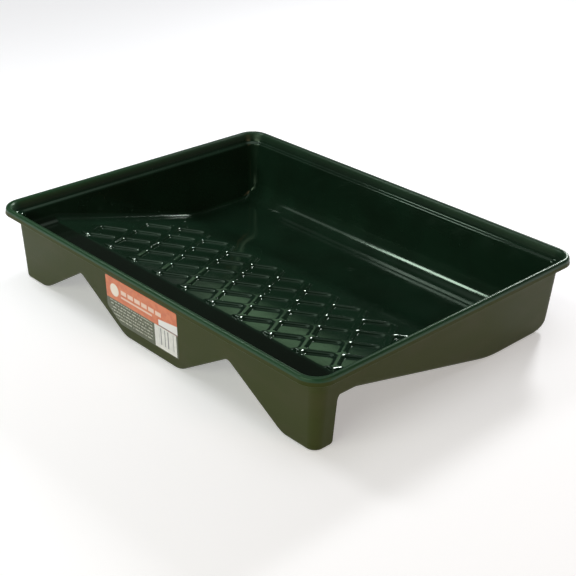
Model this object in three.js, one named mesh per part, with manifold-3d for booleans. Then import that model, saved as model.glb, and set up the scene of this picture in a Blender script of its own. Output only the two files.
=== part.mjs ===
// A wide paint roller tray: one plastic moulding, with a film label and a sticker on its front skirt.
// Millimetres. +Z is up, +X runs along the long front edge, +Y runs from the shallow ledge to the
// deep well. The origin is under the middle of the tray, on the surface that it stands on.
import * as THREE from 'three';
import { mergeVertices } from 'three/addons/utils/BufferGeometryUtils.js';
import Module from 'manifold-3d';

const wasm = await Module();
wasm.setup();

// Rim: the crest is the rounded top edge that runs all the way round.
const CREST_WIDTH = 533;
const CREST_DEPTH = 404;
const CREST_RADIUS = 22;
const HEIGHT = 93.5;
const LIP_DROP = 9;
const LIP_FLARE = 3.6;
const SHOULDER_DROP = 14;

// The rim's section, as pairs of depth below the crest and distance in from it: the bead's outer
// face, the hollow under the bead, and the collar between the bead and the walls.
const BEAD_FACE = [[LIP_DROP, -LIP_FLARE], [4, -3], [1.4, -1.9], [0, -0.8]];
const BEAD_HOLLOW = [[LIP_DROP + 1, -1.4], [4, -1], [3, -0.1]];
const COLLAR_OUTSIDE = [[15, 4], [2.6, 0.8]];
const COLLAR_INSIDE = [[12.8, 6.5], [3.4, 3.2], [1.2, 2.2], [-0.2, 0.8]];

// Walls: how far the outer face stands in from the crest, at the shoulder and at the feet.
const WALL = 2.6;
const INSET_TOP = 8.5;
const INSET_FOOT = 14;
const FRONT_EXTRA_TOP = 4;
const FRONT_EXTRA_FOOT = 1.8;
const LOWER_ROUNDING = 3;

// Floor: a flat ledge at the front, a ramp, and a flat well with a rounded rear edge.
const LEDGE_TOP = 57.3;
const RAMP_START_Y = -135;
const RAMP_END_Y = 82;
const WELL_REAR_RADIUS = 27;

// Front skirt: three feet with two notches between them, and short returns along both sides.
const NOTCH_CENTRE_X = 127.4;
const NOTCH_HALF_WIDTH = 87;
const NOTCH_HEIGHT = 50;
const FOOT_ROUNDING = 16;
const NOTCH_ROUNDING = 4;
const RETURN_END_Y = -161;
const FLANGE_DEPTH = 8;

// Ramp ribs: two crossing sets of low ridges that make a diamond grid.
const RIB_PITCH_X = 46.4;
const RIB_ROW_PITCH = 34.6;
const RIB_FIRST_NODE = [32, -128];
const RIB_HEIGHT = 3.2;
const RIB_BASE = 9;
const RIB_CREST = 3;
const RIB_FIELD = { halfWidth: 222, front: -131.5, back: 42 };

// Label and sticker on the skirt. Heights are measured up the skirt's face from the feet.
const LABEL = { left: -76, right: 49, bottom: 14, top: 69.5, thick: 0.4 };
const LABEL_CUT = { width: 23, height: 16 };
const STICKER = { left: 9.5, right: 46.5, bottom: 14.8, top: 42, thick: 0.3 };
const GLUE_GAP = 0.3;

const CORNER_STEPS = 6;
const FAR = 400;
const RAMP_ANGLE = Math.atan2(LEDGE_TOP - WALL, RAMP_END_Y - RAMP_START_Y);
const CORNER_X = CREST_WIDTH / 2 - CREST_RADIUS;
const CORNER_Y = CREST_DEPTH / 2 - CREST_RADIUS;
const SHOULDER_Z = HEIGHT - SHOULDER_DROP;

function toSolid(geometry) {
  const bare = geometry.clone();
  bare.deleteAttribute('normal');
  bare.deleteAttribute('uv');
  const merged = mergeVertices(bare, 1e-4);
  const mesh = new wasm.Mesh({
    numProp: 3,
    vertProperties: new Float32Array(merged.attributes.position.array),
    triVerts: new Uint32Array(merged.index.array),
  });
  return new wasm.Manifold(mesh);
}

function toGeometry(solid) {
  const mesh = solid.getMesh();
  const geometry = new THREE.BufferGeometry();
  geometry.setAttribute('position', new THREE.BufferAttribute(mesh.vertProperties, 3));
  geometry.setIndex(new THREE.BufferAttribute(mesh.triVerts, 1));
  geometry.computeVertexNormals();
  return geometry;
}

// The crest's rounded rectangle, seen from above.
function crestOutline() {
  const quarter = Math.PI / 2;
  const corners = [[1, -1], [1, 1], [-1, 1], [-1, -1]];
  const shape = new THREE.Shape();
  corners.forEach(([sideX, sideY], i) => {
    const start = (i - 1) * quarter;
    shape.absarc(sideX * CORNER_X, sideY * CORNER_Y, CREST_RADIUS, start, start + quarter, false);
  });
  shape.closePath();
  return shape;
}

// A solid whose outline at each level is the crest outline moved inwards by that level's inset,
// and at the front by its frontExtra as well.
function stackedSolid(levels) {
  const count = levels.length - 1;
  const geometry = new THREE.ExtrudeGeometry(crestOutline(), {
    depth: count, steps: count, bevelEnabled: false, curveSegments: CORNER_STEPS,
  });
  const points = geometry.attributes.position;
  for (let i = 0; i < points.count; i += 1) {
    const [z, inset, frontExtra] = levels[Math.round(points.getZ(i))];
    const centreX = Math.sign(points.getX(i)) * CORNER_X;
    const centreY = Math.sign(points.getY(i)) * CORNER_Y;
    const scale = 1 - inset / CREST_RADIUS;
    const x = centreX + (points.getX(i) - centreX) * scale;
    const y = centreY + (points.getY(i) - centreY) * scale;
    points.setXYZ(i, x, centreY < 0 ? y + frontExtra : y, z);
  }
  return toSolid(geometry);
}

// The rounded lower edge of the outer wall, which ends where the drafted face starts.
function lowerEdgeLevels() {
  return [
    [0, INSET_FOOT + 0.7 * LOWER_ROUNDING, FRONT_EXTRA_FOOT],
    [0.3 * LOWER_ROUNDING, INSET_FOOT + 0.3 * LOWER_ROUNDING, FRONT_EXTRA_FOOT],
    [LOWER_ROUNDING, INSET_FOOT, FRONT_EXTRA_FOOT],
  ];
}

// A side outline in Y and Z, drawn right across the tray.
function acrossTray(outline) {
  const geometry = new THREE.ExtrudeGeometry(outline, {
    depth: 2 * FAR, bevelEnabled: false, curveSegments: CORNER_STEPS,
  });
  geometry.translate(0, 0, -FAR);
  geometry.applyMatrix4(new THREE.Matrix4().set(0, 0, 1, 0, 1, 0, 0, 0, 0, 1, 0, 0, 0, 0, 0, 1));
  return toSolid(geometry);
}

// Everything above the floor. A drop of WALL gives the underside.
function aboveFloor(drop) {
  const bendShift = drop * Math.tan(RAMP_ANGLE / 2);
  const radius = WELL_REAR_RADIUS + drop;
  const floorZ = WALL - drop;
  const wallY = CREST_DEPTH / 2 - INSET_FOOT - WALL + drop + 0.5;
  const outline = new THREE.Shape();
  outline.moveTo(-FAR, LEDGE_TOP - drop);
  outline.lineTo(RAMP_START_Y - bendShift, LEDGE_TOP - drop);
  outline.lineTo(RAMP_END_Y - bendShift, floorZ);
  outline.absarc(wallY - radius, floorZ + radius, radius, -Math.PI / 2, 0, false);
  outline.lineTo(FAR, floorZ + radius);
  outline.lineTo(FAR, FAR);
  outline.lineTo(-FAR, FAR);
  outline.closePath();
  return acrossTray(outline);
}

// Levels for part of the rim's section, the same all the way round.
function rimLevels(section) {
  return section.map(([depth, inset]) => [HEIGHT - depth, inset, 0]);
}

// The bead with its turned-down lip, hollow underneath.
function rim() {
  return stackedSolid(rimLevels(BEAD_FACE)).subtract(stackedSolid(rimLevels(BEAD_HOLLOW)));
}

// The outside of the pan: drafted walls, a shoulder and a collar that rises into the bead.
function panOutside() {
  const outside = stackedSolid([
    ...lowerEdgeLevels(),
    [SHOULDER_Z - WALL, INSET_TOP, FRONT_EXTRA_TOP],
    ...rimLevels(COLLAR_OUTSIDE),
  ]);
  return outside.intersect(aboveFloor(WALL));
}

// The space inside the pan, open at the top.
function panInside() {
  const inside = stackedSolid([
    [0, INSET_FOOT + WALL, FRONT_EXTRA_FOOT],
    [SHOULDER_Z, INSET_TOP + WALL, FRONT_EXTRA_TOP],
    ...rimLevels(COLLAR_INSIDE),
  ]);
  return inside.intersect(aboveFloor(0));
}

// One opening between two feet, with rounded foot corners and a rounded apex, raised by the lift.
function notchOutline(lift) {
  const slope = NOTCH_HEIGHT / (NOTCH_HALF_WIDTH - FOOT_ROUNDING / 2);
  const rise = slope * FOOT_ROUNDING / 2;
  const outline = new THREE.Shape();
  outline.moveTo(-NOTCH_HALF_WIDTH, -1);
  outline.lineTo(-NOTCH_HALF_WIDTH, lift);
  outline.quadraticCurveTo(
    -NOTCH_HALF_WIDTH + FOOT_ROUNDING / 2, lift, -NOTCH_HALF_WIDTH + FOOT_ROUNDING, rise + lift,
  );
  outline.lineTo(-NOTCH_ROUNDING, NOTCH_HEIGHT - slope * NOTCH_ROUNDING + lift);
  outline.quadraticCurveTo(
    0, NOTCH_HEIGHT + lift, NOTCH_ROUNDING, NOTCH_HEIGHT - slope * NOTCH_ROUNDING + lift,
  );
  outline.lineTo(NOTCH_HALF_WIDTH - FOOT_ROUNDING, rise + lift);
  outline.quadraticCurveTo(NOTCH_HALF_WIDTH - FOOT_ROUNDING / 2, lift, NOTCH_HALF_WIDTH, lift);
  outline.lineTo(NOTCH_HALF_WIDTH, -1);
  outline.closePath();
  return outline;
}

function notch(centreX, lift) {
  const geometry = new THREE.ExtrudeGeometry(notchOutline(lift), {
    depth: CREST_DEPTH / 2, bevelEnabled: false, curveSegments: 4,
  });
  geometry.rotateX(Math.PI / 2);
  geometry.translate(centreX, -CREST_DEPTH / 4, 0);
  return toSolid(geometry);
}

function block(width, depth, height, x, y, z) {
  const geometry = new THREE.BoxGeometry(width, depth, height);
  geometry.translate(x, y, z);
  return toSolid(geometry);
}

// Part of the outer wall below the ledge, as a ring of the given thickness with no floor.
function skirtRing(thickness) {
  const top = LEDGE_TOP - WALL / 2;
  const share = top / (SHOULDER_Z - WALL);
  const topInset = INSET_FOOT + (INSET_TOP - INSET_FOOT) * share;
  const topExtra = FRONT_EXTRA_FOOT + (FRONT_EXTRA_TOP - FRONT_EXTRA_FOOT) * share;
  const outer = stackedSolid([...lowerEdgeLevels(), [top, topInset, topExtra]]);
  const inner = stackedSolid([
    [-1, INSET_FOOT + thickness, FRONT_EXTRA_FOOT],
    [top + 1, topInset + thickness, topExtra],
  ]);
  return outer.subtract(inner);
}

// The skirt below the ledge: three feet, returns at both front corners, and a flange turned
// inwards all along the lower edge.
function skirt() {
  const front = block(2 * FAR, FAR, 2 * FAR, 0, RETURN_END_Y - FAR / 2, 0);
  const notches = notch(NOTCH_CENTRE_X, 0).add(notch(-NOTCH_CENTRE_X, 0));
  const lowerEdge = notch(NOTCH_CENTRE_X, WALL)
    .add(notch(-NOTCH_CENTRE_X, WALL))
    .add(block(2 * FAR, 2 * FAR, 2 * WALL, 0, 0, 0));
  const flange = skirtRing(FLANGE_DEPTH).intersect(lowerEdge);
  return skirtRing(WALL).add(flange).intersect(front).subtract(notches);
}

// One ridge lying on the ramp through the given point, leaning to the left or right up the ramp.
function ridge(nodeX, side) {
  const half = RIB_BASE / 2;
  const section = new THREE.Shape();
  section.moveTo(-half, -1);
  section.lineTo(half, -1);
  section.lineTo(half, 0);
  section.lineTo(RIB_CREST / 2, RIB_HEIGHT);
  section.lineTo(-RIB_CREST / 2, RIB_HEIGHT);
  section.lineTo(-half, 0);
  section.closePath();
  const geometry = new THREE.ExtrudeGeometry(section, { depth: 2 * FAR, bevelEnabled: false });
  geometry.translate(0, 0, -FAR);
  geometry.rotateX(Math.PI / 2);
  const rowLength = RIB_ROW_PITCH / Math.cos(RAMP_ANGLE);
  geometry.rotateZ(-side * Math.atan2(RIB_PITCH_X / 2, rowLength));
  geometry.translate(nodeX, (RIB_FIRST_NODE[1] - RAMP_START_Y) / Math.cos(RAMP_ANGLE), 0);
  return toSolid(geometry);
}

// The diamond grid, laid flat, trimmed to its field and then tipped onto the ramp.
function ribs() {
  const fieldLength = (RIB_FIELD.back - RIB_FIELD.front) / Math.cos(RAMP_ANGLE);
  const field = new THREE.BoxGeometry(2 * RIB_FIELD.halfWidth, fieldLength, 4 * RIB_HEIGHT);
  const fieldStart = (RIB_FIELD.front - RAMP_START_Y) / Math.cos(RAMP_ANGLE);
  field.translate(0, fieldStart + fieldLength / 2, 0);
  const reach = Math.ceil(CREST_WIDTH / RIB_PITCH_X);
  let grid = null;
  for (let i = -reach; i <= reach; i += 1) {
    for (const side of [-1, 1]) {
      const bar = ridge(RIB_FIRST_NODE[0] + i * RIB_PITCH_X, side);
      grid = grid ? grid.add(bar) : bar;
    }
  }
  const flat = grid.intersect(toSolid(field));
  const tipped = toGeometry(flat);
  tipped.rotateX(-RAMP_ANGLE);
  tipped.translate(0, RAMP_START_Y, LEDGE_TOP);
  return toSolid(tipped);
}

function trayMoulding() {
  const shell = rim().add(panOutside()).subtract(panInside()).add(skirt());
  return shell.add(ribs());
}

// A thin plate drawn in X and Z, laid on the sloping face of the skirt.
function onSkirt(outline, thick, lift) {
  const geometry = new THREE.ExtrudeGeometry(outline, { depth: thick, bevelEnabled: false });
  const faceTop = INSET_TOP + FRONT_EXTRA_TOP;
  const faceFoot = INSET_FOOT + FRONT_EXTRA_FOOT;
  const lean = Math.atan2(faceFoot - faceTop, SHOULDER_Z - WALL);
  geometry.translate(0, 0, lift);
  geometry.rotateX(Math.PI / 2 + lean);
  geometry.translate(0, faceFoot - CREST_DEPTH / 2, 0);
  return geometry;
}

function labelOutline() {
  const outline = new THREE.Shape();
  outline.moveTo(LABEL.left + LABEL_CUT.width, LABEL.bottom);
  outline.lineTo(LABEL.right, LABEL.bottom);
  outline.lineTo(LABEL.right, LABEL.top);
  outline.lineTo(LABEL.left, LABEL.top);
  outline.lineTo(LABEL.left, LABEL.bottom + LABEL_CUT.height);
  outline.closePath();
  return outline;
}

function stickerOutline() {
  const outline = new THREE.Shape();
  outline.moveTo(STICKER.left, STICKER.bottom);
  outline.lineTo(STICKER.right, STICKER.bottom);
  outline.lineTo(STICKER.right, STICKER.top);
  outline.lineTo(STICKER.left, STICKER.top);
  outline.closePath();
  return outline;
}

function named(name, geometry, color, roughness) {
  const material = new THREE.MeshStandardMaterial({ color, roughness, metalness: 0 });
  const mesh = new THREE.Mesh(geometry, material);
  mesh.name = name;
  return mesh;
}

const group = new THREE.Group();
const label = onSkirt(labelOutline(), LABEL.thick, GLUE_GAP);
const sticker = onSkirt(stickerOutline(), STICKER.thick, 2 * GLUE_GAP + LABEL.thick);
group.add(named('tray_moulding', toGeometry(trayMoulding()), 0x14321f, 0.25));
group.add(named('front_label', label, 0xc8683a, 0.45));
group.add(named('barcode_sticker', sticker, 0xe9e9e4, 0.5));

export default group;
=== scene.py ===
"""A wide paint roller tray with its film label and barcode sticker, finished around the CAD frame.

Lengths are in millimetres until mesh_object() turns them into metres. +X runs along the front edge,
+Y from the shallow ledge to the deep well, +Z up, as in the CAD model.
"""
import math

import bmesh
import bpy
import numpy as np
from mathutils import Matrix, Vector


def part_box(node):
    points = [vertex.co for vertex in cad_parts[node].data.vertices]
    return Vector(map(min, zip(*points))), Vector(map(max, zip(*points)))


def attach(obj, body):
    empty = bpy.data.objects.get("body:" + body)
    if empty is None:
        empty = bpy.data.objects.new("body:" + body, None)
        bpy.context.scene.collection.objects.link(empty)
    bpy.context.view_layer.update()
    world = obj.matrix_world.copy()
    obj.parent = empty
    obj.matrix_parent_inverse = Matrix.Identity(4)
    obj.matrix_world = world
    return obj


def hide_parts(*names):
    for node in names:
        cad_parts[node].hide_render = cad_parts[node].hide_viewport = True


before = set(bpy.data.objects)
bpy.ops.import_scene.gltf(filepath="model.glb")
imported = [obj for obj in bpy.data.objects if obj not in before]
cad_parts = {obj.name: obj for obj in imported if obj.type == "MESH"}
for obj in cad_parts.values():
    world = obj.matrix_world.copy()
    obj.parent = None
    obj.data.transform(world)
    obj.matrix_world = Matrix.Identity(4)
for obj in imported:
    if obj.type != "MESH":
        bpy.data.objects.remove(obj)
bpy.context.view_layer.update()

MM = 0.001


def node_box(node):
    """A CAD node's lowest and highest corners, in millimetres."""
    low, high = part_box(node)
    return np.array(low) / MM, np.array(high) / MM


TRAY_HIGH = node_box("tray_moulding")[1]
LABEL_LOW, LABEL_HIGH = node_box("front_label")
STICKER_LOW, STICKER_HIGH = node_box("barcode_sticker")

# Rim, from the frame's box. The crest is its rounded top edge.
LIP_FLARE = 3.6
HEIGHT = TRAY_HIGH[2]
CREST_X = TRAY_HIGH[0] - LIP_FLARE
CREST_Y = TRAY_HIGH[1] - LIP_FLARE
CREST_RADIUS = 22.0
RADIUS_SHRINK = 0.75
LEAST_RADIUS = 4.0

# Walls: how far the outer face stands in from the crest.
WALL = 2.6
SHOULDER_Z = HEIGHT - 14.0
INSET_TOP = 8.5
INSET_FOOT = 14.0
FRONT_EXTRA_TOP = 4.0
FRONT_EXTRA_FOOT = 1.8
DRAFT_HEIGHT = SHOULDER_Z - WALL
DRAFT_ANGLE = math.atan((INSET_FOOT - INSET_TOP) / DRAFT_HEIGHT)

# Floor: ledge, ramp and well. Each bend is softened over its length on either side. The side
# rounding is for the outer face's lower edge. Behind GATHER_Y a side's stations draw together, to
# end where its rounded corner starts.
LEDGE_TOP = 57.3
RAMP_START_Y = -135.0
RAMP_END_Y = 82.0
RAMP_SLOPE = (LEDGE_TOP - WALL) / (RAMP_END_Y - RAMP_START_Y)
LEDGE_BEND = 3.0
WELL_BEND = 18.0
SIDE_FILLET = 5.5
SIDE_FILLET_HIGH = 12.0
FRONT_FILLET = 7.0
REAR_FILLET = 27.0
SIDE_ROUNDING = 6.0
GATHER_Y = 148.0

# Skirt: three feet, two notches, and short returns that end part way along the sides.
NOTCH_X = 127.4
NOTCH_HALF_WIDTH = 87.0
NOTCH_HEIGHT = 50.0
FOOT_ROUNDING = 16.0
NOTCH_ROUNDING = 5.0
RETURN_END_Y = -161.0
RETURN_FOOT_RADIUS = 5.0
RETURN_TOP_RADIUS = 4.0
FLANGE = 8.0
EDGE_ROUNDING = 3.0
FLANGE_FILLET = 1.5
UNDER_FILLET = 2.0
UNDER_STEP = 0.35

# Ribs: a diamond grid of crossing ridges. The field is its left, right, front and back edges.
RIB_PITCH_X = 46.4
RIB_ROW_PITCH = 34.6
RIB_FIRST_NODE = (32.0, -128.0)
RIB_HEIGHT = 3.1
RIB_HALF_WIDTH = 4.4
POCKET_ROUNDING = 4.5
RIB_FULLNESS = 0.65
RIB_FIELD = (-224.0, 224.0, -133.4, 42.0)
RIB_FADE = 5.0

# The finely divided ribbed patch, and the edges of the hole in the coarse floor that it fills,
# which are on stations.
PATCH_MARGIN = 12.0
PATCH_HOLE = (-226.0, 226.0, RAMP_START_Y + 0.2 * LEDGE_BEND, 46.0)
ON_SIDE = 0.01

# The moulding's gate mark in the well.
GATE_MARK = (2.5, 121.5)

# Label and sticker: thin sheets a little off the skirt's face. The rectangles are left, right, low
# and high.
FILM_THICKNESS = 0.15
FILM_LIFT = 0.05
STICKER_GAP = 0.02
LABEL_CUT = (23.0, 16.0)
HEADER_LOW = 42.0
PRINT_LOW = 17.5
PRINT_PITCH = 4.1
PRINT_RIGHT = 5.0
DASHES = (-49.0, 24.0, 53.6, 58.8)
DASH_PITCH = 12.2
THIN_BAR = (-49.0, 6.0, 48.6, 50.8)
BADGE = (-60.5, 54.5)
SWEEP_LEFT = 17.0
SWEEP_RIGHT = 60.0
SWEEP_TOP = 50.0
SWEEP_SLOPE = 0.12
RULE_ABOVE_STICKER = (0.4, 1.6)

# Colours.
INSIDE_DARK = (0.0068, 0.0180, 0.0098)
INSIDE_LIGHT = (0.0083, 0.0250, 0.0136)
# Painted highlight: the rim's lighter green stands in for the light along its bead.
RIM_PAINTED_HIGHLIGHT = (0.008, 0.043, 0.014)
# Painted shade: darkens the ledge, standing in for the shadow of the front wall on it.
LEDGE_PAINTED_SHADE = (0.0045, 0.0045, 0.0035)
RUB_MARKS = (0.05, 0.11, 0.08)
OUTSIDE_DARK = (0.030, 0.038, 0.0100)
OUTSIDE_LIGHT = (0.038, 0.047, 0.0135)
OUTSIDE_DRAWN = (0.056, 0.052, 0.026)
SCUFFED = (0.12, 0.13, 0.085)
FILM_DARK = (0.050, 0.064, 0.022)
FILM_LIGHT = (0.068, 0.083, 0.033)
SMALL_PRINT = (0.52, 0.54, 0.43)
ORANGE_DARK = (0.61, 0.130, 0.028)
ORANGE_LIGHT = (0.69, 0.180, 0.050)
HEADER_MARKS = (0.86, 0.68, 0.56)
BADGE_COLOUR = (0.86, 0.78, 0.68)
SWEEP_COLOUR = (0.80, 0.79, 0.80)
RULE_COLOUR = (0.20, 0.20, 0.22)
PAPER_DARK = (0.72, 0.72, 0.70)
PAPER_LIGHT = (0.80, 0.80, 0.78)
BAR_COLOUR = (0.12, 0.12, 0.14)
FLOOR_COLOUR = (0.85, 0.86, 0.90)
BACKDROP_TINT = (0.62, 1.0, 0.60)
PLAIN = (0.9, 0.9, 0.9)

# Camera: its place in metres, and its azimuth, elevation and roll in degrees.
CAMERA_AT = (0.9022, -0.8515, 0.6588)
CAMERA_ANGLES = (46.074, 27.368, 1.301)
CAMERA_LENS = 74.1

# Area lights: name, place, the place each faces, size, power and colour, in metres and watts.
WHITE = (1.0, 1.0, 1.0)
LIGHTS = [
    ("key", (-0.615, -0.366, 0.90), (-0.615, -0.366, 0), (0.30, 0.24), 3.9, WHITE),
    ("strip", (-1.06, -0.366, 0.90), (-1.06, -0.366, 0), (0.66, 0.24), 0.45, WHITE),
    ("back", (-0.32, 1.37, 0.80), (0, 0, 0), (0.22, 0.22), 12, WHITE),
    ("front", (0.2, -2.1, 1.0), (0, 0, 0), (2.0, 0.9), 17.8, (0.98, 1.0, 0.80)),
    ("side", (2.2, 0.2, 1.0), (0, 0, 0), (1.2, 0.8), 6.5, (1.0, 0.52, 0.34)),
]


# --------------------------------------------------------------------------- mesh helpers

def mesh_object(name, points, faces, materials, face_slots=None):
    """A smooth-shaded object from points in millimetres."""
    mesh = bpy.data.meshes.new(name)
    mesh.from_pydata([tuple(p) for p in np.asarray(points) * MM], [], faces)
    for material in materials:
        mesh.materials.append(material)
    if face_slots is not None:
        mesh.polygons.foreach_set("material_index", face_slots)
    mesh.validate()
    mesh.shade_smooth()
    item = bpy.data.objects.new(name, mesh)
    bpy.context.scene.collection.objects.link(item)
    return item


def ring_faces(row_count, n):
    """Faces between neighbouring closed rows of n points."""
    faces = []
    for j in range(row_count - 1):
        for i in range(n):
            k = (i + 1) % n
            faces.append([j * n + i, j * n + k, (j + 1) * n + k, (j + 1) * n + i])
    return faces


def smoothstep(t):
    t = np.clip(t, 0.0, 1.0)
    return t * t * (3 - 2 * t)


# --------------------------------------------------------------------------- the tray's stations

SIDE, END, CORNER = 0, 1, 2
CORNER_STEPS = 10
ARC_ROWS = 10


def notch_edge():
    """The front's lower edge from its middle to the corner, as (x, height, turn)."""
    slope = NOTCH_HEIGHT / (NOTCH_HALF_WIDTH - FOOT_ROUNDING / 2)
    low_z = slope * FOOT_ROUNDING / 2
    left, right = NOTCH_X - NOTCH_HALF_WIDTH, NOTCH_X + NOTCH_HALF_WIDTH
    near_top = NOTCH_HEIGHT - slope * NOTCH_ROUNDING
    straight = NOTCH_HALF_WIDTH - FOOT_ROUNDING - NOTCH_ROUNDING
    edge = [(x, 0.0, 0.0) for x in (0.0, 14.0, 28.0)]

    def bend(x0, z0, x1, z1, x2, z2, steps):
        for t in np.linspace(0, 1, steps + 1):
            x = (1 - t) ** 2 * x0 + 2 * t * (1 - t) * x1 + t * t * x2
            z = (1 - t) ** 2 * z0 + 2 * t * (1 - t) * z1 + t * t * z2
            dx = (1 - t) * (x1 - x0) + t * (x2 - x1)
            dz = (1 - t) * (z1 - z0) + t * (z2 - z1)
            edge.append((x, z, math.atan2(dz, dx)))

    bend(left, 0, left + FOOT_ROUNDING / 2, 0, left + FOOT_ROUNDING, low_z, 6)
    for t in (0.2, 0.4, 0.6, 0.8):
        x = left + FOOT_ROUNDING + t * straight
        edge.append((x, low_z + t * (near_top - low_z), math.atan(slope)))
    bend(NOTCH_X - NOTCH_ROUNDING, near_top, NOTCH_X, NOTCH_HEIGHT,
         NOTCH_X + NOTCH_ROUNDING, near_top, 8)
    for t in (0.8, 0.6, 0.4, 0.2):
        x = right - FOOT_ROUNDING - t * straight
        edge.append((x, low_z + t * (near_top - low_z), -math.atan(slope)))
    bend(right - FOOT_ROUNDING, low_z, right - FOOT_ROUNDING / 2, 0, right, 0, 6)
    edge.append((PATCH_HOLE[1], 0.0, 0.0))
    return edge


def return_edge():
    """The side's lower edge where the corner foot ends, as (y, height, turn, flange, pan)."""
    under = LEDGE_TOP - WALL
    foot_y = RETURN_END_Y - RETURN_FOOT_RADIUS
    low, high = RETURN_FOOT_RADIUS, under - RETURN_TOP_RADIUS
    lean = 0.3
    edge = [(-172.0, 0.0, 0.0, 1.0, 0.0), (-169.0, 0.0, 0.0, 1.0, 0.0)]
    for turn in np.radians(np.arange(0, 91, 15)):
        y = foot_y + RETURN_FOOT_RADIUS * math.sin(turn)
        z = RETURN_FOOT_RADIUS * (1 - math.cos(turn))
        edge.append((y, z, turn, 1 - smoothstep(turn / 1.2), 0.0))
    for t in (0.2, 0.4, 0.6, 0.8):
        edge.append((RETURN_END_Y + lean * t, low + t * (high - low), math.pi / 2, 0.0, 0.0))
    for turn in np.radians(np.arange(90, -1, -15)):
        y = RETURN_END_Y + lean + RETURN_TOP_RADIUS * (1 - math.sin(turn))
        z = under - RETURN_TOP_RADIUS * (1 - math.cos(turn))
        edge.append((y, z, turn, 0.0, 1 - turn / (math.pi / 2)))
    return edge


def ramp_stations():
    """Places along the sides behind the feet, closer together where the floor bends."""
    ledge = [-152.0, -145.0]
    top = [RAMP_START_Y + k * LEDGE_BEND for k in (-1.2, -0.6, -0.2, 0.2, 0.6, 1.0)]
    ramp = [-122.0, -108.0, -90.0, -70.0, -46.0, -22.0, 2.0, 24.0, PATCH_HOLE[3], 60.0]
    foot = [RAMP_END_Y + k * WELL_BEND for k in (-1.1, -0.7, -0.35, 0.0, 0.35, 0.7, 1.1)]
    well = [104.0, 120.0, 136.0, GATHER_Y, 153.0, 158.0, 162.5, 166.5, 170.0, 173.0]
    return ledge + top + ramp + foot + well


class Stations:
    """Places round the tray, seen from above: on a straight side or end, where along says where,
    or on a rounded corner. edge_z, turn, flange and pan describe the lower edge there."""

    def __init__(self):
        angles = np.linspace(0, math.pi / 2, CORNER_STEPS + 1)
        shares = angles / (math.pi / 2)
        # kind, along, normal x and y, end_share, side_y, edge_z, turn, flange, pan
        rows = [(END, x, 0, -1, 1, -1, z, turn, 1, 0) for x, z, turn in notch_edge()]
        self.front_count = len(rows)
        rows += [(CORNER, 0, math.sin(a), -math.cos(a), 1 - share, -1, 0, 0, 1, 0)
                 for a, share in zip(angles, shares)]
        rows += [(SIDE, y, 1, 0, 0, -1, z, turn, flange, pan)
                 for y, z, turn, flange, pan in return_edge()]
        rows += [(SIDE, y, 1, 0, 0, 1, 0, 0, 0, 1) for y in ramp_stations()]
        rows += [(CORNER, 0, math.cos(a), math.sin(a), share, 1, 0, 0, 0, 1)
                 for a, share in zip(angles, shares)]
        rows += [(END, x, 0, 1, 1, 1, 0, 0, 0, 1) for x, _, _ in reversed(notch_edge())]
        right = np.array(rows, dtype=float)
        left = right[-2:0:-1].copy()
        is_end = left[:, 0] == END
        left[:, 1] *= np.where(is_end, -1, 1)
        left[:, 2] *= -1
        left[:, 7] *= np.where(is_end, -1, 1)
        table = np.vstack([right, left])
        self.kind, self.along = table[:, 0], table[:, 1]
        self.normal, self.end_share, self.side_y = table[:, 2:4], table[:, 4], table[:, 5]
        self.edge_z, self.turn, self.flange, self.pan = table[:, 6:].T
        self.count, self.right_count = len(table), len(right)
        self.side_x = np.where(np.arange(self.count) < self.right_count, 1.0, -1.0)
        self.at_front = np.where(self.side_y < 0, 1.0, 0.0)
        self.y = np.where(self.kind == SIDE, self.along, self.side_y * CREST_Y)


# --------------------------------------------------------------------------- the tray's shape

def corner_radius(inset_side, inset_end):
    """The radius of the outline's corners, seen from above, at these insets."""
    shrink = RADIUS_SHRINK * (inset_side + inset_end) / 2
    return np.clip(CREST_RADIUS - shrink, LEAST_RADIUS, None)


def corner_start(inset_side, inset_end):
    """How far back the straight part of a side goes."""
    return CREST_Y - inset_end - corner_radius(inset_side, inset_end)


def place(stations, inset_side, inset_end, z, shift=0.0):
    """A point at each station, set in from the crest's side and end, at height z, and shifted
    along its side."""
    radius = corner_radius(inset_side, inset_end)
    half_x, half_y = CREST_X - inset_side, CREST_Y - inset_end
    x = stations.side_x * (half_x - radius) + stations.normal[:, 0] * radius
    y = stations.side_y * (half_y - radius) + stations.normal[:, 1] * radius
    x = np.where(stations.kind == END, stations.along + shift, x)
    y = np.where(stations.kind == SIDE, stations.along + shift, y)
    return np.column_stack([x, y, np.broadcast_to(z, x.shape)])


def floor_height(y, drop=0.0):
    """The height of the floor at y. A drop of WALL gives the underside."""
    bend = drop * math.tan(math.atan(RAMP_SLOPE) / 2)
    top, low = LEDGE_TOP - drop, WALL - drop
    start, end = RAMP_START_Y - bend, RAMP_END_Y - bend
    slope = (top - low) / (end - start)
    line = np.clip(top - slope * (y - start), low, top)
    near_top = np.clip(LEDGE_BEND - np.abs(y - start), 0, None)
    near_low = np.clip(WELL_BEND - np.abs(y - end), 0, None)
    line = line - slope * near_top ** 2 / (4 * LEDGE_BEND)
    return line + slope * near_low ** 2 / (4 * WELL_BEND)


def wall_insets(z, at_front):
    """(side, end) insets of the outer face at height z."""
    share = np.clip(z / DRAFT_HEIGHT, 0, 1)
    side = INSET_FOOT + (INSET_TOP - INSET_FOOT) * share
    extra = FRONT_EXTRA_FOOT + (FRONT_EXTRA_TOP - FRONT_EXTRA_FOOT) * share
    return side, side + extra * at_front


def blend_round(stations, side, front, rear):
    """(side, end, here): radii for the sides and the ends, and eased between them at corners."""
    end = np.where(stations.side_y > 0, rear, front)
    return side, end, side + (end - side) * smoothstep(stations.end_share)


def rise(distance, radius):
    """The height of a round that is level at 0 and upright at its radius."""
    return radius - np.sqrt(radius ** 2 - np.clip(distance, 0, radius) ** 2)


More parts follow.
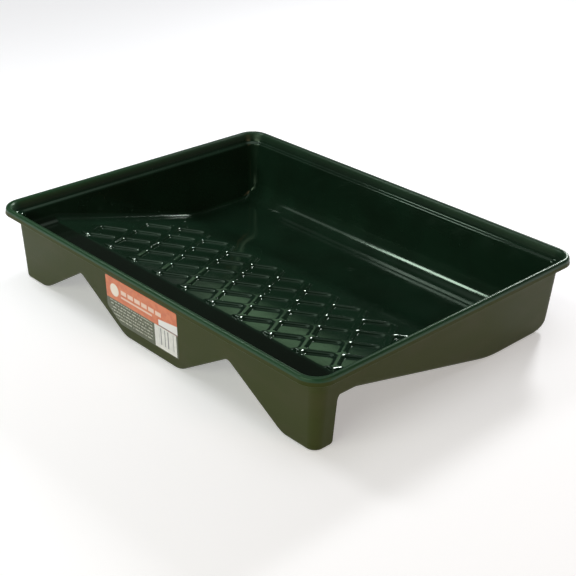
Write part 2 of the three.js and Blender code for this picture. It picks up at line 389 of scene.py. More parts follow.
def foot_arc(stations, radii, floor, thickness, angle, along=0.0):
    """A point on the round between a wall and the floor. An angle of 90 degrees is on the floor,
    and along is how much further in it is. The round at the rear wall runs right across the tray,
    so the sides' lower edge follows it."""
    side_r, end_r, here_r = radii
    reach = math.cos(DRAFT_ANGLE) - math.cos(angle)
    wall_rise = 1 - math.sin(DRAFT_ANGLE)
    at_rear = stations.side_y > 0
    small_r = side_r * (1 - smoothstep(stations.end_share))
    rear_r = REAR_FILLET + WALL - thickness
    rear_inset = wall_insets(floor.min() + rear_r * wall_rise, 0)[1] + thickness
    rear_start = CREST_Y - rear_inset - rear_r * math.cos(DRAFT_ANGLE)
    wall_low = floor + here_r * wall_rise
    # Where the wall ends and how far in it stands there depend on each other, and soon settle.
    for _ in range(4):
        side, end = wall_insets(wall_low, stations.at_front)
        side, end = side + thickness, end + thickness
        wall = place(stations, side, end, 0.0)
        up_rear = floor + small_r * wall_rise + rise(wall[:, 1] - rear_start, rear_r)
        wall_low = np.where(at_rear, up_rear, wall_low)
    in_side, in_end = side + side_r * reach + along, end + end_r * reach + along
    gather = (corner_start(in_side, in_end) - GATHER_Y) / (corner_start(side, end) - GATHER_Y)
    past = np.where(stations.kind == SIDE, np.clip(stations.along - GATHER_Y, 0, None), 0.0)
    shift = past * (gather - 1)
    point = place(stations, in_side, in_end, floor + here_r * (1 - math.sin(angle)), shift)
    inwards = ((wall - point)[:, :2] * stations.normal).sum(1)
    inwards = inwards + small_r * (1 - math.cos(DRAFT_ANGLE))
    z = floor + rise(point[:, 1] - rear_start, rear_r) + rise(small_r - inwards, small_r)
    point[:, 2] = np.where(at_rear, z, point[:, 2])
    return point


def inner_rows(stations):
    """Rows of points from the edge of the floor up to the shoulder."""
    floor = floor_height(stations.y)
    share = (floor - WALL) / (LEDGE_TOP - WALL)
    side_fillet = SIDE_FILLET + (SIDE_FILLET_HIGH - SIDE_FILLET) * share
    radii = blend_round(stations, side_fillet, FRONT_FILLET, REAR_FILLET)
    rows = [foot_arc(stations, radii, floor, WALL, angle)
            for angle in np.linspace(math.pi / 2, DRAFT_ANGLE, ARC_ROWS)]
    top = SHOULDER_Z - 3
    start = rows[-1][:, 2]
    for t in (0.3, 0.65, 1.0):
        z = start + t * (top - start)
        side, end = wall_insets(z, stations.at_front)
        rows.append(place(stations, side + WALL, end + WALL, z))
    return rows


# The rim's section: (inset from the crest, depth below it, share of the front's extra inset).
RIM_SECTION = [
    (10.9, 15.2, 1.0), (10.5, 14.2, 0.95), (9.7, 13.5, 0.8), (8.6, 13.0, 0.5),
    (7.5, 12.5, 0.25), (6.7, 11.7, 0.08), (6.1, 10.3, 0.0), (5.1, 6.4, 0.0), (4.3, 3.8, 0.0),
    (3.5, 2.3, 0.0), (2.6, 1.1, 0.0), (1.5, 0.35, 0.0), (0.3, 0.0, 0.0), (-0.9, 0.25, 0.0),
    (-1.9, 0.95, 0.0), (-2.55, 2.0, 0.0), (-2.85, 3.2, 0.0), (-3.05, 4.6, 0.0), (-3.3, 6.6, 0.0),
    (-3.55, 8.0, 0.0), (-3.6, 8.5, 0.0), (-3.3, 8.9, 0.0), (-2.6, 9.0, 0.0), (-1.9, 8.9, 0.0),
    (-1.5, 8.4, 0.0), (-1.1, 6.4, 0.0), (-0.7, 4.2, 0.0), (0.1, 3.3, 0.0), (1.2, 3.4, 0.0),
    (2.0, 4.4, 0.0), (3.0, 8.0, 0.0), (3.8, 12.0, 0.0), (4.3, 13.8, 0.05), (5.2, 14.8, 0.25),
    (6.4, 15.5, 0.5), (7.6, 16.1, 0.8), (8.4, 17.0, 1.0),
]
# How many of its rows are on the glossy side.
GLOSS_SECTION_ROWS = 17


def rim_rows(stations):
    """Rows over the rim and down to the foot of its shoulder."""
    return [
        place(stations, inset, inset + share * FRONT_EXTRA_TOP * stations.at_front, HEIGHT - depth)
        for inset, depth, share in RIM_SECTION
    ]


def edge_sections():
    """The section of the skirt's lower edge, as (height from the edge, depth behind the face): with
    a flange turned in, and as the bare edge of the wall. Both have the same number of points."""
    quarter = np.radians(np.linspace(0, 90, 6))
    half_turn = np.radians(np.linspace(0, 180, 7))
    r, half, fillet = EDGE_ROUNDING, WALL / 2, FLANGE_FILLET
    flanged = [(r - r * math.sin(a), r - r * math.cos(a)) for a in quarter]
    flanged += [(half - half * math.cos(a), FLANGE - half + half * math.sin(a)) for a in half_turn]
    flanged += [(WALL + fillet - fillet * math.cos(a), WALL + fillet - fillet * math.sin(a))
                for a in quarter[::2]]
    plain = [(half - half * math.sin(a), half - half * math.cos(a)) for a in quarter]
    plain += [(half - half * math.cos(a), half + half * math.sin(a)) for a in quarter[1:]]
    plain += [(half + 0.6 * k, WALL) for k in range(1, len(flanged) - len(plain) + 1)]
    return flanged, plain


def skirt_rows(stations, under_z):
    """Rows round the lower edge of the skirt and up its inner face to the underside."""
    share = stations.flange
    rows = []
    for (flange_up, flange_in), (plain_up, plain_in) in zip(*edge_sections()):
        up = share * flange_up + (1 - share) * plain_up
        inwards = share * flange_in + (1 - share) * plain_in
        z = stations.edge_z + up * np.cos(stations.turn)
        side, end = wall_insets(z, stations.at_front)
        rows.append(place(stations, side + inwards, end + inwards, z, -up * np.sin(stations.turn)))
    last = rows[-1][:, 2]
    for t in (0.5, 1.0):
        z = last + t * np.clip(under_z - UNDER_FILLET - last, 0.3, None)
        side, end = wall_insets(z, stations.at_front)
        rows.append(place(stations, side + WALL, end + WALL, z))
    side, end = wall_insets(under_z, stations.at_front)
    side, end = side + WALL + UNDER_FILLET, end + WALL + UNDER_FILLET
    rows.append(place(stations, side, end, under_z))
    return rows


def pan_rows(stations, under_z, count):
    """The same number of rows round the pan's lower edge and in along its underside."""
    radii = blend_round(stations, SIDE_ROUNDING, SIDE_ROUNDING, REAR_FILLET + WALL)
    rows = [foot_arc(stations, radii, under_z, 0.0, angle)
            for angle in np.linspace(DRAFT_ANGLE, math.pi / 2, ARC_ROWS)]
    for step in range(1, count - ARC_ROWS + 1):
        rows.append(foot_arc(stations, radii, under_z, 0.0, math.pi / 2, UNDER_STEP * step))
    return rows


def outer_rows(stations):
    """Rows from the shoulder down the outer wall, round the lower edge and to the underside."""
    under_z = floor_height(stations.y, WALL)
    skirt = skirt_rows(stations, under_z)
    pan = pan_rows(stations, under_z, len(skirt))
    share = smoothstep(stations.pan)[:, None]
    lower = [a * (1 - share) + b * share for a, b in zip(skirt, pan)]
    shoulder = rim_rows(stations)[-1]
    wall = [shoulder + (lower[0] - shoulder) * t for t in (0.12, 0.35, 0.65, 0.9)]
    return wall + lower


def shell_rows(stations):
    """Every row of the tray's skin, from the edge of the floor, over the rim, to the underside.
    Also gives the number of rows of the glossy inside."""
    inside = inner_rows(stations)
    rows = inside + rim_rows(stations) + outer_rows(stations)
    return rows, len(inside) + GLOSS_SECTION_ROWS


# --------------------------------------------------------------------------- floors

def floor_grid(stations, ring, drop):
    """A grid that fills a ring of stations, as points [row][column] and each point's place in the
    ring, or -1. Its corners are at the middles of the rounded corners."""
    half = CORNER_STEPS // 2
    front_right = stations.front_count + half
    back_right = stations.right_count - 1 - front_right
    n = stations.count
    front = [i % n for i in range(-front_right, front_right + 1)]
    right = list(range(front_right, back_right + 1))
    back = list(range(n - back_right, back_right - 1, -1))
    left = list(range(n - front_right, n - back_right - 1, -1))
    low, high, west, east = ring[front], ring[back], ring[left], ring[right]
    u = (low[:, 0] - low[0, 0]) / (low[-1, 0] - low[0, 0])
    v = (east[:, 1] - east[0, 1]) / (east[-1, 1] - east[0, 1])
    uu, vv = u[None, :, None], v[:, None, None]
    grid = (1 - vv) * low[None] + vv * high[None] + (1 - uu) * west[:, None] + uu * east[:, None]
    grid = grid - ((1 - uu) * (1 - vv) * low[0] + uu * (1 - vv) * low[-1]
                   + (1 - uu) * vv * high[0] + uu * vv * high[-1])
    inner = slice(half + 1, -half - 1)
    grid[1:-1, inner, 0] = low[None, inner, 0]
    grid[inner, 1:-1, 1] = east[inner, None, 1]
    grid[1:-1, 1:-1, 2] = floor_height(grid[1:-1, 1:-1, 1], drop)
    indices = -np.ones(grid.shape[:2], dtype=int)
    indices[0], indices[-1], indices[:, 0], indices[:, -1] = front, back, left, right
    return grid, indices


# --------------------------------------------------------------------------- ribs

def pocket_distance(points):
    """How far points are outside the diamond pockets between the ridges, seen from above. The
    pockets' corners are rounded."""
    half_x, half_y = RIB_PITCH_X / 2, RIB_ROW_PITCH
    column = (points[:, 0] - RIB_FIRST_NODE[0]) / half_x
    row = (points[:, 1] - RIB_FIRST_NODE[1]) / half_y
    first, second = (row + column) / 2, (row - column) / 2
    first, second = first - np.floor(first) - 0.5, second - np.floor(second) - 0.5
    x, y = np.abs(first - second) * half_x, np.abs(first + second) * half_y
    edge = math.hypot(half_x, half_y)
    reach = half_x * half_y / edge
    core = reach - RIB_HALF_WIDTH - POCKET_ROUNDING
    core_x, core_y = half_x * core / reach, half_y * core / reach
    out = (x * half_y + y * half_x) / edge - core
    along = (x * half_x - y * half_y) / edge
    past_x, past_y = along > core_x * half_x / edge, along < -core_y * half_y / edge
    out = np.where(past_y, np.hypot(x, y - core_y), out)
    out = np.where(past_x, np.hypot(x - core_x, y), out)
    return out - POCKET_ROUNDING


def rib_height(points):
    """The height of the diamond grid above the ramp at points seen from above."""
    climb = np.clip(pocket_distance(points) / RIB_HALF_WIDTH, 0, 1)
    height = RIB_HEIGHT * (1 - (1 - climb) ** 2) ** RIB_FULLNESS
    west, east, front, back = RIB_FIELD
    inset = np.minimum.reduce([points[:, 0] - west, east - points[:, 0],
                               (points[:, 1] - front) * 2, (back - points[:, 1]) * 0.7])
    return height * np.sqrt(1 - (1 - np.clip(inset / RIB_FADE, 0, 1)) ** 2)


def rib_lines(first, last):
    """Grid lines for one set of ridges: close together on a ridge, few between."""
    spacing = RIB_PITCH_X * RIB_ROW_PITCH / math.hypot(RIB_PITCH_X / 2, RIB_ROW_PITCH)
    across = [0.0, 0.9, 1.8, 2.6, 3.3, 3.9, 4.5, 5.3, 6.4, 8.0]
    offsets = sorted([-t for t in across[1:]] + across + [11.0, spacing / 2, spacing - 11.0])
    return np.array([k + t / spacing for k in range(first, last) for t in offsets])


def rib_patch():
    """The points and faces of the ribbed part of the ramp."""
    west, east, front, back = RIB_FIELD
    a, b = np.meshgrid(rib_lines(-7, 8), rib_lines(-6, 10), indexing="ij")
    x = RIB_FIRST_NODE[0] + RIB_PITCH_X / 2 * (a - b)
    y = RIB_FIRST_NODE[1] + RIB_ROW_PITCH * (a + b)
    flat = np.column_stack([x.ravel(), y.ravel(), np.zeros(x.size)])
    number = np.arange(x.size).reshape(x.shape)
    corners = [number[:-1, :-1], number[1:, :-1], number[1:, 1:], number[:-1, 1:]]
    quads = np.stack(corners, -1).reshape(-1, 4)
    middle_x, middle_y, _ = flat[quads].mean(1).T
    near = (middle_x > west - PATCH_MARGIN) & (middle_x < east + PATCH_MARGIN)
    near &= (middle_y > front - PATCH_MARGIN) & (middle_y < back + PATCH_MARGIN)
    used, quads = np.unique(quads[near], return_inverse=True)
    mesh = bmesh.new()
    verts = [mesh.verts.new(p) for p in flat[used]]
    for quad in quads.reshape(-1, 4):
        mesh.faces.new([verts[i] for i in quad])
    cuts = [((west, 0, 0), (-1, 0, 0)), ((east, 0, 0), (1, 0, 0)),
            ((0, front, 0), (0, -1, 0)), ((0, back, 0), (0, 1, 0))]
    # The mesh is still flat here, and in millimetres.
    for point, normal in cuts:
        everything = mesh.verts[:] + mesh.edges[:] + mesh.faces[:]
        bmesh.ops.bisect_plane(mesh, geom=everything, plane_co=point, plane_no=normal,
                               clear_outer=True)
    bmesh.ops.remove_doubles(mesh, verts=mesh.verts[:], dist=1e-3)
    mesh.verts.index_update()
    points = np.array([v.co[:] for v in mesh.verts])
    faces = [[v.index for v in f.verts] for f in mesh.faces]
    mesh.free()
    points[:, 2] = floor_height(points[:, 1]) + rib_height(points)
    return points, faces


def side_of(points, axis, value, low, high):
    """Which points are on one side of a rectangle, in order. The side is where the axis has the
    value and the other axis is from low to high."""
    along = points[:, 1 - axis]
    on_line = np.abs(points[:, axis] - value) < ON_SIDE
    on = np.where(on_line & (along > low - ON_SIDE) & (along < high + ON_SIDE))[0]
    return on[np.argsort(along[on])]


def strip(outer, inner, outer_t, inner_t):
    """Triangles between two lines of points, each with its place along the side."""
    faces = []
    i = j = 0
    while i < len(outer) - 1 or j < len(inner) - 1:
        inner_done = j == len(inner) - 1
        if inner_done or (i < len(outer) - 1 and outer_t[i + 1] <= inner_t[j + 1]):
            faces.append([outer[i], outer[i + 1], inner[j]])
            i += 1
        else:
            faces.append([outer[i], inner[j + 1], inner[j]])
            j += 1
    return faces


def join_patch(grid, numbers, patch, base):
    """Triangles from the sides of the floor's hole to the sides of the patch. The patch's points
    are numbered from base."""
    faces = []
    for axis, side in ((1, 2), (0, 1), (1, 3), (0, 0)):
        other = 2 * (1 - axis)
        low, high = PATCH_HOLE[other:other + 2]
        inner_low, inner_high = RIB_FIELD[other:other + 2]
        outer = side_of(grid, axis, PATCH_HOLE[side], low, high)
        inner = side_of(patch, axis, RIB_FIELD[side], inner_low, inner_high)
        outer_t = (grid[outer, 1 - axis] - low) / (high - low)
        inner_t = (patch[inner, 1 - axis] - inner_low) / (inner_high - inner_low)
        faces.extend(strip(numbers[outer], inner + base, outer_t, inner_t))
    return faces


# --------------------------------------------------------------------------- the tray

INSIDE_SLOT, OUTSIDE_SLOT = 0, 1


def in_hole(x, y):
    """Whether a place is where the ribbed patch goes."""
    west, east, front, back = PATCH_HOLE
    return west < x < east and front < y < back


def fill_ring(stations, ring, first, drop, points, with_hole):
    """Fills a ring whose points are numbered from first, and adds its inner points to points. With
    the hole, the cells whose middles are in it are left out. Gives the grid, its points' numbers
    and the faces."""
    grid, numbers = floor_grid(stations, ring, drop)
    numbers = np.where(numbers >= 0, numbers + first, numbers)
    for j, i in zip(*np.where(numbers < 0)):
        if not (with_hole and in_hole(*grid[j, i, :2])):
            numbers[j, i] = len(points)
            points.append(grid[j, i])
    faces = []
    for j in range(grid.shape[0] - 1):
        for i in range(grid.shape[1] - 1):
            x, y, _ = grid[j:j + 2, i:i + 2].mean((0, 1))
            if with_hole and in_hole(x, y):
                continue
            face = [numbers[j, i], numbers[j, i + 1], numbers[j + 1, i + 1], numbers[j + 1, i]]
            faces.append(face if drop == 0 else face[::-1])
    return grid.reshape(-1, 3), numbers.ravel(), faces


def close_mesh(mesh):
    """Merges coincident points, turns every face outwards and prints what is left open."""
    work = bmesh.new()
    work.from_mesh(mesh)
    bmesh.ops.remove_doubles(work, verts=work.verts[:], dist=2e-6)
    bmesh.ops.dissolve_degenerate(work, edges=work.edges[:], dist=1e-6)
    bmesh.ops.recalc_face_normals(work, faces=work.faces[:])
    work.to_mesh(mesh)
    open_edges = sum(1 for e in work.edges if not e.is_manifold)
    print("tray", len(work.verts), "points", len(work.faces), "faces", open_edges, "open edges",
          work.calc_volume() / MM ** 3, "mm3")
    work.free()


def build_tray(materials):
    stations = Stations()
    rows, gloss_rows = shell_rows(stations)
    n = stations.count
    points = list(np.vstack(rows))
    faces = ring_faces(len(rows), n)
    slots = [INSIDE_SLOT if j < gloss_rows else OUTSIDE_SLOT
             for j in range(len(rows) - 1) for _ in range(n)]

    def add(new_faces, slot):
        faces.extend(new_faces)
        slots.extend([slot] * len(new_faces))

    grid, numbers, floor = fill_ring(stations, rows[0], 0, 0.0, points, True)
    add(floor, INSIDE_SLOT)
    add(fill_ring(stations, rows[-1], (len(rows) - 1) * n, WALL, points, False)[2], OUTSIDE_SLOT)
    patch, patch_faces = rib_patch()
    base = len(points)
    points.extend(patch)
    add([[v + base for v in face] for face in patch_faces], INSIDE_SLOT)
    add(join_patch(grid, numbers, patch, base), INSIDE_SLOT)
    faces = [[int(v) for v in face] for face in faces]
    tray = mesh_object("tray", points, faces, materials, slots)
    close_mesh(tray.data)
    even = tray.modifiers.new("even shading", "WEIGHTED_NORMAL")
    even.mode = "FACE_AREA"
    even.keep_sharp = True
    return tray


# --------------------------------------------------------------------------- materials

class Shader:
    """Short calls for building one material's nodes."""

    def __init__(self, name):
        self.material = bpy.data.materials.new(name)
        self.material.use_nodes = True
        self.tree = self.material.node_tree
        self.principled = self.tree.nodes["Principled BSDF"]
        self.coordinates = self.tree.nodes.new("ShaderNodeTexCoord").outputs["Object"]

    def link(self, value, socket):
        if hasattr(value, "is_output"):
            self.tree.links.new(value, socket)
        elif isinstance(value, tuple) and len(value) == 3 and socket.type == "RGBA":
            socket.default_value = (*value, 1)
        else:
            socket.default_value = value

    def set(self, **values):
        """Principled inputs by name, with _ for a space."""
        for name, value in values.items():
            self.link(value, self.principled.inputs[name.replace("_", " ")])

    def math(self, operation, *values):
        node = self.tree.nodes.new("ShaderNodeMath")
        node.operation = operation
        for value, socket in zip(values, node.inputs):
            self.link(value, socket)
        return node.outputs[0]

    def length(self, first, second):
        """The length of a vector with these two parts."""
        squares = [self.math("POWER", value, 2.0) for value in (first, second)]
        return self.math("SQRT", self.math("ADD", *squares))

    def axes(self):
        """Object coordinates in millimetres, as three sockets."""
        node = self.tree.nodes.new("ShaderNodeSeparateXYZ")
        self.link(self.coordinates, node.inputs[0])
        return [self.math("MULTIPLY", socket, 1 / MM) for socket in node.outputs]

    def noise(self, size, detail=3.0, stretch=(1, 1, 1), distortion=0.0):
        """Noise from 0 to 1 whose blotches are about size millimetres across."""
        mapping = self.tree.nodes.new("ShaderNodeMapping")
        mapping.inputs["Scale"].default_value = stretch
        self.link(self.coordinates, mapping.inputs["Vector"])
        node = self.tree.nodes.new("ShaderNodeTexNoise")
        self.link(mapping.outputs[0], node.inputs["Vector"])
        node.inputs["Scale"].default_value = 1 / (size * MM)
        node.inputs["Detail"].default_value = detail
        node.inputs["Distortion"].default_value = distortion
        return node.outputs["Fac"]

    def span(self, value, low, high, out_low=0.0, out_high=1.0):
        """Maps low..high to out_low..out_high and clamps."""
        node = self.tree.nodes.new("ShaderNodeMapRange")
        node.interpolation_type = "SMOOTHSTEP"
        ends = {"From Min": low, "From Max": high, "To Min": out_low, "To Max": out_high}
        for name, number in {"Value": value, **ends}.items():
            self.link(number, node.inputs[name])
        return node.outputs[0]

    def mix(self, share, first, second, blend="MIX"):
        node = self.tree.nodes.new("ShaderNodeMix")
        node.data_type = "RGBA"
        node.blend_type = blend
        self.link(share, node.inputs[0])
        self.link(first, node.inputs[6])
        self.link(second, node.inputs[7])
        return node.outputs[2]

    def box(self, x, z, left, right, low, high, soft=0.25):
        """1 inside a rectangle of the x and z sockets, in millimetres."""
        across = self.math("MULTIPLY", self.span(x, left - soft, left + soft),
                           self.span(x, right - soft, right + soft, 1, 0))
        up = self.math("MULTIPLY", self.span(z, low - soft, low + soft),
                       self.span(z, high - soft, high + soft, 1, 0))
        return self.math("MULTIPLY", across, up)

    def bump(self, height, distance, normal=None):
        """A bump node for a height socket, where 1 stands for distance millimetres."""
        node = self.tree.nodes.new("ShaderNodeBump")
        node.inputs["Distance"].default_value = distance * MM
        self.link(height, node.inputs["Height"])
        if normal is not None:
            self.link(normal, node.inputs["Normal"])
        return node.outputs[0]


def inside_plastic():
    """Glossy bottle green with a soft orange peel, flow marks, fine rub marks and the gate mark.
    The ledge is darkened with painted shade, and the rim is made lighter green with a painted
    highlight that fades towards the back."""
    s = Shader("inside_plastic")
    x, y, z = s.axes()
    blotches = s.noise(60, 4)
    deep = s.mix(s.span(blotches, 0.3, 0.7), INSIDE_DARK, INSIDE_LIGHT)
    # Painted shade: the ledge in front of the ramp is darkened, standing in for the shadow of the
    # front wall.
    at_front = s.span(y, RAMP_START_Y - 4, RAMP_START_Y, 1, 0)
    painted_ledge_shade = s.math("MULTIPLY", at_front, s.span(z, LEDGE_TOP + 2.7, LEDGE_TOP + 8.7, 1, 0))
    deep = s.mix(s.math("MULTIPLY", painted_ledge_shade, 0.65), deep, LEDGE_PAINTED_SHADE)
    # Painted highlight: the rim is made lighter green, strongest at the front and fading towards
    # the back, standing in for the light along its bead.
    painted_rim_highlight = s.math("MULTIPLY", s.span(z, HEIGHT - 9, HEIGHT - 2), s.span(y, -60, 140, 1, 0.4))
    deep = s.mix(painted_rim_highlight, deep, RIM_PAINTED_HIGHLIGHT)
    streaks = s.noise(26, 5, (1, 0.12, 1), 0.4)
    rubs = s.span(s.noise(3.2, 2, (0.25, 1, 1), 0.6), 0.64, 0.80)
    colour = s.mix(s.math("MULTIPLY", rubs, 0.06), deep, RUB_MARKS)
    from_gate = s.length(s.math("SUBTRACT", x, GATE_MARK[0]), s.math("SUBTRACT", y, GATE_MARK[1]))
    ring = s.math("MULTIPLY", s.span(from_gate, 2.2, 3.2), s.span(from_gate, 3.4, 4.6, 1, 0))
    peel = s.bump(s.noise(7, 2), 0.035)
    flow = s.bump(streaks, 0.06, peel)
    normal = s.bump(ring, 0.35, flow)
    gloss = s.math("ADD", s.span(streaks, 0.35, 0.7, 0.10, 0.15), s.math("MULTIPLY", rubs, 0.10))
    gloss = s.math("ADD", gloss, s.span(z, HEIGHT - 12, HEIGHT - 7, 0, 0.28))
    s.set(Base_Color=colour, Roughness=gloss, Normal=normal, IOR=1.52, Specular_IOR_Level=0.46,
          Specular_Tint=(0.72, 1.0, 0.78))
    return s.material


def outside_plastic():
    """The same plastic with a finely textured satin face, scuffed along the feet."""
    s = Shader("outside_plastic")
    _, _, z = s.axes()
    cloud = s.noise(85, 4)
    base = s.mix(s.span(cloud, 0.3, 0.7), OUTSIDE_DARK, OUTSIDE_LIGHT)
    drawn = s.noise(34, 4, (0.5, 0.5, 1.6))
    base = s.mix(s.span(drawn, 0.45, 0.75, 0, 0.35), base, OUTSIDE_DRAWN)
    patches = s.span(s.noise(4, 4, (0.5, 0.5, 1)), 0.52, 0.66)
    scuffs = s.math("MULTIPLY", patches, s.span(z, 0.5, 6, 0.6, 0))
    colour = s.mix(scuffs, base, SCUFFED)
    grain = s.bump(s.noise(0.7, 2), 0.05)
    normal = s.bump(s.noise(18, 3), 0.10, grain)
    rough = s.math("ADD", s.span(cloud, 0.3, 0.7, 0.42, 0.52), s.math("MULTIPLY", scuffs, 0.15))
    s.set(Base_Color=colour, Roughness=rough, Normal=normal, IOR=1.5, Specular_IOR_Level=0.2,
          Specular_Tint=(0.85, 1.0, 0.35))
    return s.material


def film_print():
    """A clear film over the plastic with an orange header, a pale badge, a white sweep and rows of
    tiny print marks. None of the marks is lettering."""
    s = Shader("film_print")
    x, _, z = s.axes()
    film = s.mix(s.span(s.noise(9, 3), 0.35, 0.65), FILM_DARK, FILM_LIGHT)
    line = s.math("FRACT", s.math("DIVIDE", s.math("SUBTRACT", z, PRINT_LOW), PRINT_PITCH))
    in_line = s.math("MULTIPLY", s.span(line, 0.25, 0.35), s.span(line, 0.62, 0.72, 1, 0))
    flecks = s.span(s.noise(2.0, 1, (1, 0, 0.35)), 0.44, 0.50)
    rows = s.math("MULTIPLY", in_line, flecks)
    paragraph = s.box(x, z, LABEL_LOW[0] + 6, PRINT_RIGHT, PRINT_LOW, HEADER_LOW - 1.5)
    print_share = s.math("MULTIPLY", rows, s.math("MULTIPLY", paragraph, 0.8))
    colour = s.mix(print_share, film, SMALL_PRINT)
    orange = s.mix(s.span(s.noise(7, 3), 0.35, 0.65), ORANGE_DARK, ORANGE_LIGHT)
    colour = s.mix(s.span(z, HEADER_LOW - 0.3, HEADER_LOW + 0.3), colour, orange)
    place = s.math("FRACT", s.math("DIVIDE", s.math("SUBTRACT", x, DASHES[0]), DASH_PITCH))
    dash = s.math("MULTIPLY", s.span(place, 0.0, 0.06), s.span(place, 0.80, 0.86, 1, 0))
    dashes = s.math("MULTIPLY", dash, s.box(x, z, *DASHES, 0.6))
    marks = s.math("ADD", dashes, s.box(x, z, *THIN_BAR, 0.6))
    colour = s.mix(s.math("MULTIPLY", marks, 0.8), colour, HEADER_MARKS)
    badge = s.length(s.math("SUBTRACT", x, BADGE[0]), s.math("SUBTRACT", z, BADGE[1]))
    colour = s.mix(s.span(badge, 7.2, 8.2, 0.95, 0), colour, BADGE_COLOUR)
    from_left = s.math("SUBTRACT", x, SWEEP_LEFT)
    sweep_top = s.math("ADD", SWEEP_TOP, s.math("MULTIPLY", from_left, SWEEP_SLOPE))
    under_top = s.span(s.math("SUBTRACT", z, sweep_top), -0.4, 0.4, 1, 0)
    rule_low, rule_high = (STICKER_HIGH[2] + above for above in RULE_ABOVE_STICKER)
    over_rule = s.box(x, z, SWEEP_LEFT, SWEEP_RIGHT, rule_high, 70)
    colour = s.mix(s.math("MULTIPLY", under_top, over_rule), colour, SWEEP_COLOUR)
    rule = s.box(x, z, SWEEP_LEFT, SWEEP_RIGHT, rule_low, rule_high)
    colour = s.mix(rule, colour, RULE_COLOUR)
    normal = s.bump(s.noise(16, 2), 0.12)
    s.set(Base_Color=colour, Roughness=0.32, Normal=normal, Coat_Weight=0.3, Coat_Roughness=0.15)
    return s.material


def sticker_print():
    """White paper with plain vertical bars of uneven width."""
    s = Shader("sticker_print")
    x, _, z = s.axes()
    left, right = STICKER_LOW[0], STICKER_HIGH[0]
    bars = s.span(s.noise(2.4, 1, (1, 0, 0)), 0.53, 0.56)
    field = s.box(x, z, left + 6, right - 4, STICKER_LOW[2] + 5, STICKER_HIGH[2] - 1.5)
    paper = s.mix(s.span(s.noise(6, 3), 0.35, 0.65), PAPER_DARK, PAPER_LIGHT)
    colour = s.mix(s.math("MULTIPLY", bars, s.math("MULTIPLY", field, 0.85)), paper, BAR_COLOUR)
    s.set(Base_Color=colour, Roughness=0.55, Normal=s.bump(s.noise(0.8, 2), 0.02))
    return s.material


# --------------------------------------------------------------------------- label and sticker

def skirt_face_y(z):
    """Where the outer face of the front is, at height z."""
    return -CREST_Y + wall_insets(z, 1.0)[1]


def rounded_outline(corners, radius, steps=5):
    """A polygon's points with its corners rounded, in X and Z."""
    outline = []
    corners = [np.array(c, dtype=float) for c in corners]
    for i, corner in enumerate(corners):
        before, after = corners[i - 1], corners[(i + 1) % len(corners)]
        start = corner + (before - corner) / np.linalg.norm(before - corner) * radius
        end = corner + (after - corner) / np.linalg.norm(after - corner) * radius
        for t in np.linspace(0, 1, steps):
            outline.append((1 - t) ** 2 * start + 2 * t * (1 - t) * corner + t * t * end)
    return outline


def stuck_sheet(name, corners, radius, lift, thickness, material):
    """A thin sheet on the front of the skirt, with rounded corners and edges."""
    outline = rounded_outline(corners, radius)
    middle = np.mean(outline, axis=0)
    rings = [(1.0, 0.0), (1.0, 0.8), (0.995, 1.0), (0.96, 1.0), (0.6, 1.0), (0.3, 1.0)]
    points = []
    n = len(outline)
    for scale, raise_share in rings:
        for x, z in (middle + (p - middle) * scale for p in outline):
            points.append((x, skirt_face_y(z) - lift - thickness * raise_share, z))
    faces = ring_faces(len(rings), n)
    faces.append([(len(rings) - 1) * n + i for i in range(n)])
    faces.append([n - 1 - i for i in range(n)])
    sheet = mesh_object(name, points, faces, [material])
    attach(sheet, "root")
    return sheet


def build_label():
    left, right = LABEL_LOW[0], LABEL_HIGH[0]
    low, high = LABEL_LOW[2], LABEL_HIGH[2]
    corners = [(left + LABEL_CUT[0], low), (right, low), (right, high), (left, high),
               (left, low + LABEL_CUT[1])]
    label = stuck_sheet("front_label_film", corners, 2.0, FILM_LIFT, FILM_THICKNESS, film_print())
    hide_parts("front_label")


def build_sticker():
    left, right = STICKER_LOW[0], STICKER_HIGH[0]
    low, high = STICKER_LOW[2], STICKER_HIGH[2]
    corners = [(left, low), (right, low), (right, high), (left, high)]
    lift = FILM_LIFT + FILM_THICKNESS + STICKER_GAP
    sticker = stuck_sheet("barcode_sticker_paper", corners, 0.8, lift, FILM_THICKNESS,
                          sticker_print())
    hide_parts("barcode_sticker")


# --------------------------------------------------------------------------- scene

def add_camera():
    """The photograph's viewing angle."""
    azimuth, elevation, roll = (math.radians(angle) for angle in CAMERA_ANGLES)
    back = Vector((math.sin(azimuth) * math.cos(elevation),
                   -math.cos(azimuth) * math.cos(elevation), math.sin(elevation)))
    level = Vector((math.cos(azimuth), math.sin(azimuth), 0))
    above = back.cross(level)
    right = level * math.cos(roll) + above * math.sin(roll)
    up = back.cross(right)
    camera = bpy.data.cameras.new("camera")
    camera.sensor_width = 36
    camera.lens = CAMERA_LENS
    item = bpy.data.objects.new("camera", camera)
    turn = Matrix((right, up, back)).transposed().to_4x4()
    item.matrix_world = Matrix.Translation(Vector(CAMERA_AT)) @ turn
    bpy.context.scene.collection.objects.link(item)
    bpy.context.scene.camera = item


def add_floor():
    """A plain pale floor that glows a little, and more far off, to meet the background."""
    s = Shader("floor")
    x, y, _ = s.axes()
    glow = s.span(s.length(x, y), 1000, 3200, 0.36, 0.70)
    s.set(Base_Color=FLOOR_COLOUR, Roughness=0.7, Emission_Color=WHITE, Emission_Strength=glow)
    reach = 6000
    corners = [(-reach, -reach, 0), (reach, -reach, 0), (reach, reach, 0), (-reach, reach, 0)]
    floor = mesh_object("floor", corners, [[0, 1, 2, 3]], [s.material])


def add_light(name, at, aim, size, power, colour):
    """An area light at a place in metres, facing another."""
    light = bpy.data.lights.new(name, "AREA")
    light.shape = "RECTANGLE"
    light.size, light.size_y = size
    light.energy = power
    light.color = colour
    item = bpy.data.objects.new(name, light)
    item.location = at
    item.rotation_euler = (Vector(aim) - Vector(at)).to_track_quat("-Z", "Y").to_euler()
    bpy.context.scene.collection.objects.link(item)


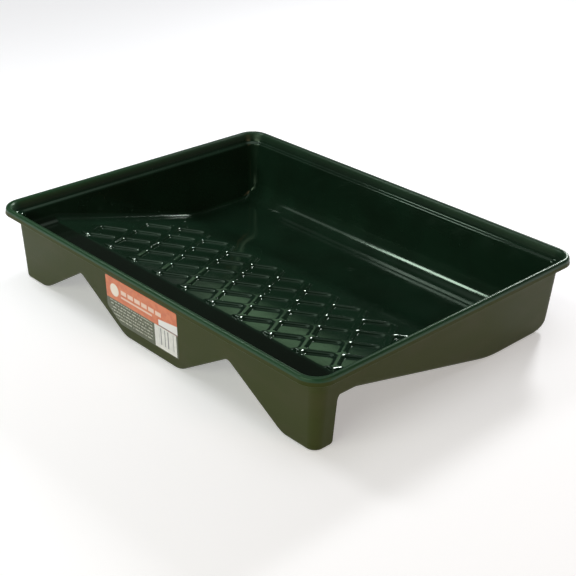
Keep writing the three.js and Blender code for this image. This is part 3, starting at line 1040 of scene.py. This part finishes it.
def add_world():
    """A studio that is dark higher up, with a soft ceiling and a green-tinted pale wall low down at
    the back. Seen directly, it is plain and pale."""
    world = bpy.data.worlds.new("studio")
    world.use_nodes = True
    tree = world.node_tree
    direction = tree.nodes.new("ShaderNodeTexCoord").outputs["Generated"]
    split = tree.nodes.new("ShaderNodeSeparateXYZ")
    tree.links.new(direction, split.inputs[0])

    def ramp(value, levels, tint=(1, 1, 1)):
        node = tree.nodes.new("ShaderNodeValToRGB")
        tree.links.new(value, node.inputs["Fac"])
        stops = node.color_ramp.elements
        while len(stops) < len(levels):
            stops.new(0.5)
        for stop, (at, level) in zip(stops, levels):
            stop.position = at
            stop.color = (*(level * part for part in tint), 1)
        return node.outputs["Color"]

    def mix(share, first, second):
        node = tree.nodes.new("ShaderNodeMix")
        node.data_type = "RGBA"
        for value, number in ((share, 0), (first, 6), (second, 7)):
            tree.links.new(value, node.inputs[number])
        return node.outputs[2]

    towards_back = tree.nodes.new("ShaderNodeVectorMath")
    towards_back.operation = "DOT_PRODUCT"
    tree.links.new(direction, towards_back.inputs[0])
    towards_back.inputs[1].default_value = (-0.30, 0.954, 0.0)
    at_back = ramp(towards_back.outputs["Value"], [(0.875, 0.0), (0.905, 1.0)])
    height = split.outputs["Z"]
    higher = [(0.80, 0.03), (0.92, 0.8), (1.0, 1.3)]
    elsewhere = ramp(height, [(0.0, 0.25), (0.08, 0.15), (0.20, 0.04)] + higher)
    backdrop = ramp(height, [(0.0, 0.64), (0.14, 0.64), (0.22, 0.04)] + higher, BACKDROP_TINT)
    studio = mix(at_back, elsewhere, backdrop)
    plain = tree.nodes.new("ShaderNodeRGB").outputs[0]
    plain.default_value = (*PLAIN, 1)
    seen_directly = tree.nodes.new("ShaderNodeLightPath").outputs["Is Camera Ray"]
    shown = mix(seen_directly, studio, plain)
    tree.links.new(shown, tree.nodes["Background"].inputs["Color"])
    bpy.context.scene.world = world


bpy.context.scene.view_settings.view_transform = "Standard"
add_camera()
add_world()
add_floor()
for light in LIGHTS:
    add_light(*light)

tray = build_tray([inside_plastic(), outside_plastic()])
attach(tray, "root")
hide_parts("tray_moulding")
build_label()
build_sticker()
